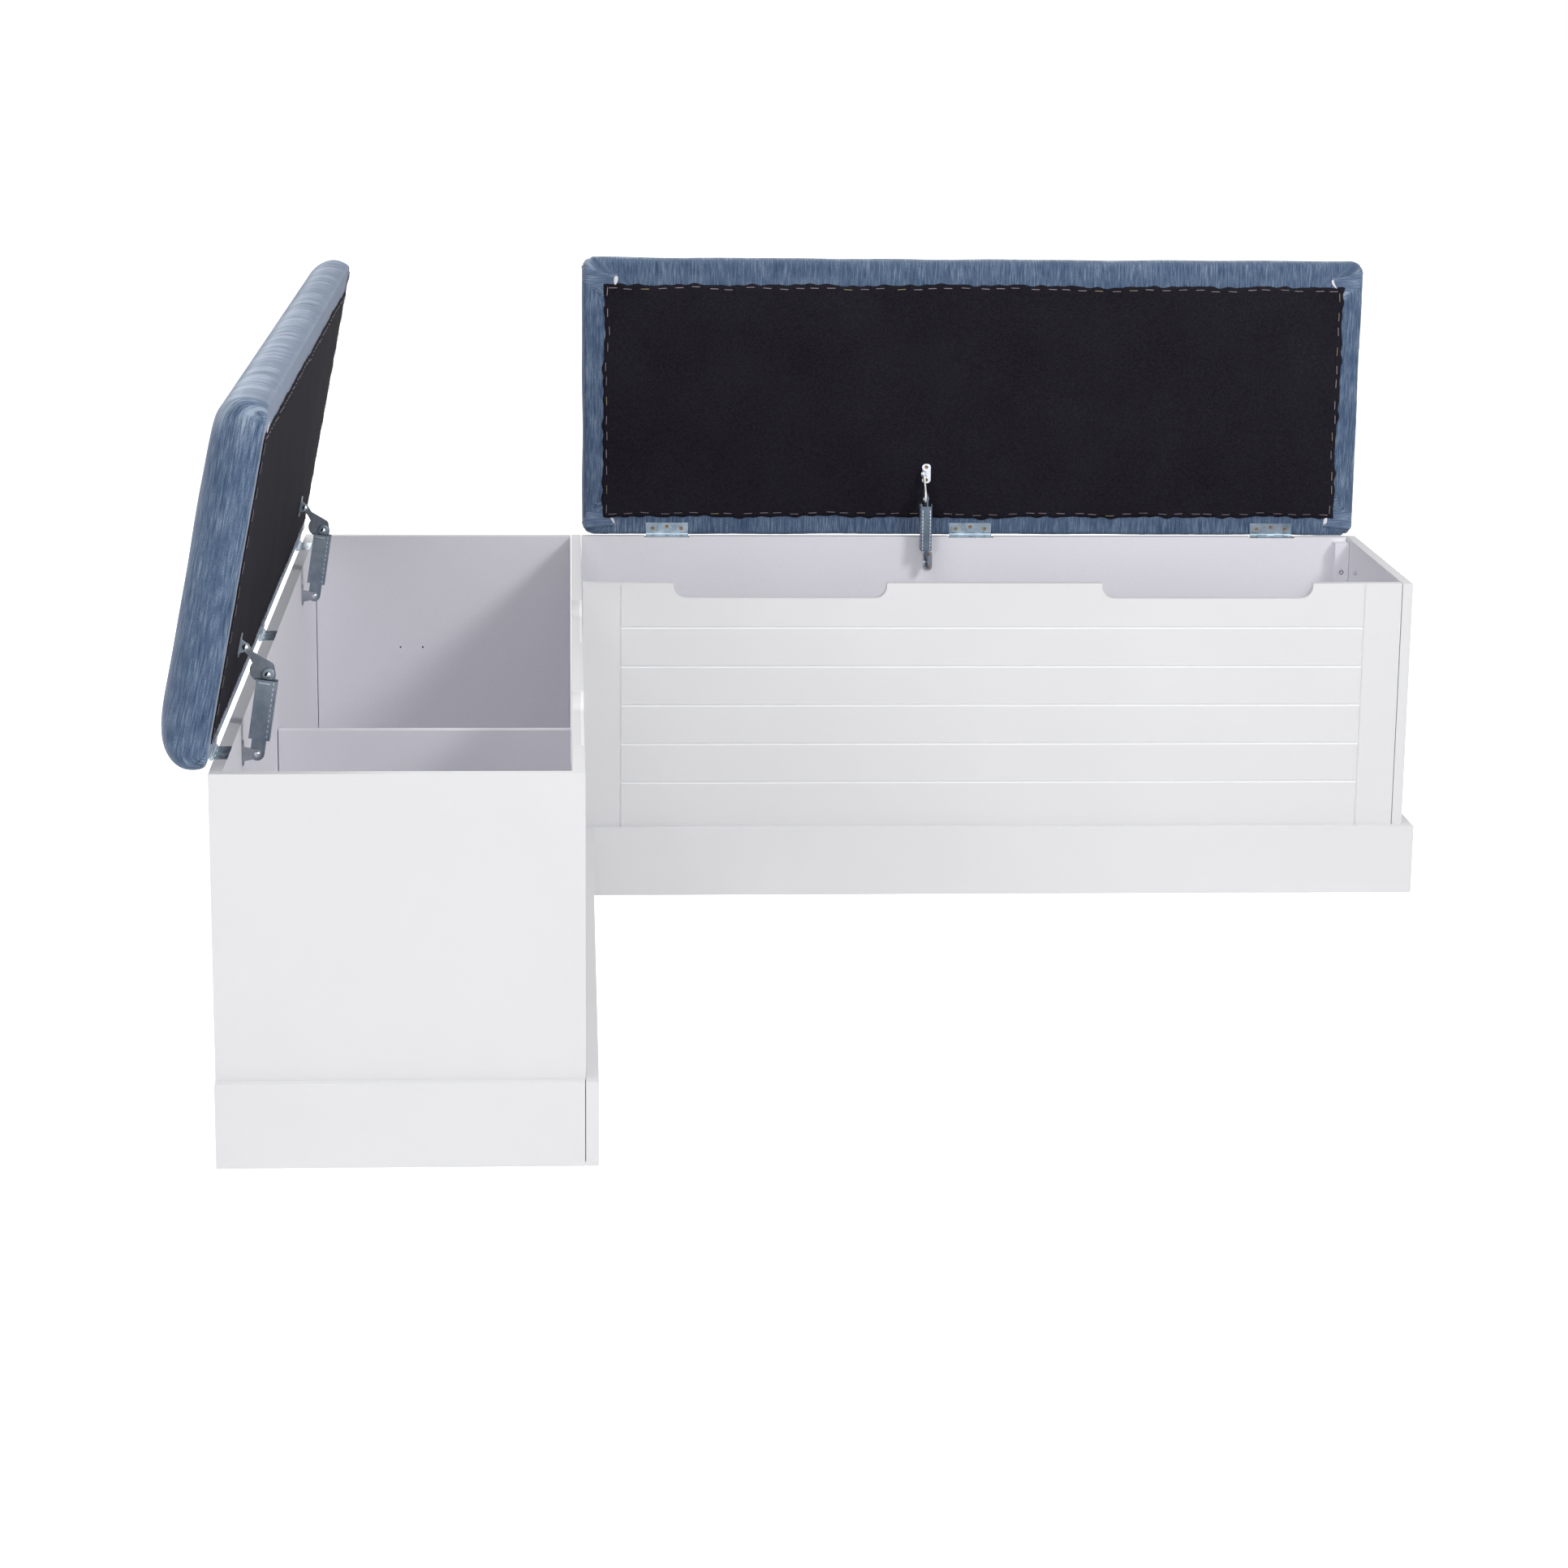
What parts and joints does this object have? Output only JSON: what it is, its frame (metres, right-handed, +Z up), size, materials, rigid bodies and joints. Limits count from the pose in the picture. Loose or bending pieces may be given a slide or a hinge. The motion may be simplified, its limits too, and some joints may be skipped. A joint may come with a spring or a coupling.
{
  "type": "corner storage bench",
  "caption": "L-shaped corner storage bench of joined open-topped boxes with grooved fronts, hand notches and hinged, upholstered lids held by folding stays.",
  "frame": {"origin": "centre of the footprint with both lids open as stored, on the floor", "axes": "+Z up; the corner bench runs along Y with its hinges on the -X side; the wall bench runs along X with its hinges on the +Y side"},
  "size_m": [1.6926, 1.7038, 0.8788],
  "materials": {
    "white_paint": "satin",
    "laminate": "satin",
    "board_core": "matte",
    "foam": "matte",
    "blue_fabric": "matte",
    "black_cloth": "matte",
    "zinc_steel": "satin",
    "dark_steel": "satin"
  },
  "bodies": {
    "boxes": {"corner_front_board": "white_paint", "corner_back_board": "white_paint", "corner_near_end_board": "white_paint", "corner_far_end_board": "laminate", "corner_divider": "laminate", "corner_floor_board": "laminate", "corner_front_plinth": "white_paint", "corner_end_plinth": "white_paint", "corner_near_left_cleat": "laminate", "corner_near_right_cleat": "laminate", "wall_front_board": "white_paint", "wall_back_board": "white_paint", "wall_end_board": "white_paint", "wall_floor_board": "laminate", "wall_front_plinth": "white_paint", "wall_end_plinth": "white_paint", "wall_front_cleat": "laminate", "wall_rear_cleat": "laminate", "corner_near_hinge_box_leaf": "zinc_steel", "corner_middle_hinge_box_leaf": "zinc_steel", "corner_far_hinge_box_leaf": "zinc_steel", "wall_left_hinge_box_leaf": "zinc_steel", "wall_middle_hinge_box_leaf": "zinc_steel", "wall_right_hinge_box_leaf": "zinc_steel", "corner_near_hinge_pin": "zinc_steel", "corner_middle_hinge_pin": "zinc_steel", "corner_far_hinge_pin": "zinc_steel", "wall_left_hinge_pin": "zinc_steel", "wall_middle_hinge_pin": "zinc_steel", "wall_right_hinge_pin": "zinc_steel", "corner_near_stay_wall_bracket": "zinc_steel", "corner_far_stay_wall_bracket": "zinc_steel", "wall_stay_wall_bracket": "zinc_steel"},
    "corner_lid": {"corner_lid_board": "board_core", "corner_foam": "foam", "corner_dust_cover": "black_cloth", "corner_cushion": "blue_fabric", "corner_near_hinge_lid_leaf": "zinc_steel", "corner_middle_hinge_lid_leaf": "zinc_steel", "corner_far_hinge_lid_leaf": "zinc_steel", "corner_near_stay_lid_bracket": "zinc_steel", "corner_far_stay_lid_bracket": "zinc_steel"},
    "wall_lid": {"wall_lid_board": "board_core", "wall_foam": "foam", "wall_dust_cover": "black_cloth", "wall_cushion": "blue_fabric", "wall_left_hinge_lid_leaf": "zinc_steel", "wall_middle_hinge_lid_leaf": "zinc_steel", "wall_right_hinge_lid_leaf": "zinc_steel", "wall_stay_lid_bracket": "zinc_steel"},
    "corner_near_arm": {"corner_near_stay_arm": "dark_steel"},
    "corner_near_strut": {"corner_near_stay_strut": "dark_steel", "corner_near_stay_spring": "zinc_steel"},
    "corner_far_arm": {"corner_far_stay_arm": "dark_steel"},
    "corner_far_strut": {"corner_far_stay_strut": "dark_steel", "corner_far_stay_spring": "zinc_steel"},
    "wall_arm": {"wall_stay_arm": "dark_steel"},
    "wall_strut": {"wall_stay_strut": "dark_steel", "wall_stay_spring": "zinc_steel"}
  },
  "joints": [
    {"name": "corner_lid_hinge", "type": "hinge", "parent": "boxes", "child": "corner_lid", "pos_m": [-0.79172, -0.0269, 0.4573], "axis": [0, 1, 0], "range_deg": [-11, 79]},
    {"name": "corner_near_arm_pivot", "type": "hinge", "parent": "corner_lid", "child": "corner_near_arm", "pos_m": [-0.76652, -0.5719, 0.54918], "axis": [0, 1, 0], "range_deg": [-104.8, 14.9]},
    {"name": "corner_near_strut_pivot", "type": "hinge", "parent": "boxes", "child": "corner_near_strut", "pos_m": [-0.75572, -0.5719, 0.42], "axis": [0, 1, 0], "range_deg": [-10.8, 75.1]},
    {"name": "corner_far_arm_pivot", "type": "hinge", "parent": "corner_lid", "child": "corner_far_arm", "pos_m": [-0.76652, 0.4631, 0.54918], "axis": [0, 1, 0], "range_deg": [-104.8, 14.9]},
    {"name": "corner_far_strut_pivot", "type": "hinge", "parent": "boxes", "child": "corner_far_strut", "pos_m": [-0.75572, 0.4631, 0.42], "axis": [0, 1, 0], "range_deg": [-10.8, 75.1]},
    {"name": "wall_lid_hinge", "type": "hinge", "parent": "boxes", "child": "wall_lid", "pos_m": [0.23128, 0.7861, 0.4573], "axis": [1, 0, 0], "range_deg": [0, 90]},
    {"name": "wall_arm_pivot", "type": "hinge", "parent": "wall_lid", "child": "wall_arm", "pos_m": [0.15828, 0.7789, 0.5523], "axis": [1, 0, 0], "range_deg": [-121, 0.5]},
    {"name": "wall_strut_pivot", "type": "hinge", "parent": "boxes", "child": "wall_strut", "pos_m": [0.15828, 0.7501, 0.42], "axis": [1, 0, 0], "range_deg": [-0.5, 87.8]}
  ],
  "couplings": [
    {"joint": "corner_near_arm_pivot", "follows": "corner_lid_hinge", "ratio": -1.3209},
    {"joint": "corner_near_strut_pivot", "follows": "corner_lid_hinge", "ratio": 0.9463},
    {"joint": "corner_far_arm_pivot", "follows": "corner_lid_hinge", "ratio": -1.3209},
    {"joint": "corner_far_strut_pivot", "follows": "corner_lid_hinge", "ratio": 0.9463},
    {"joint": "wall_arm_pivot", "follows": "wall_lid_hinge", "ratio": -1.3399},
    {"joint": "wall_strut_pivot", "follows": "wall_lid_hinge", "ratio": 0.96982}
  ]
}
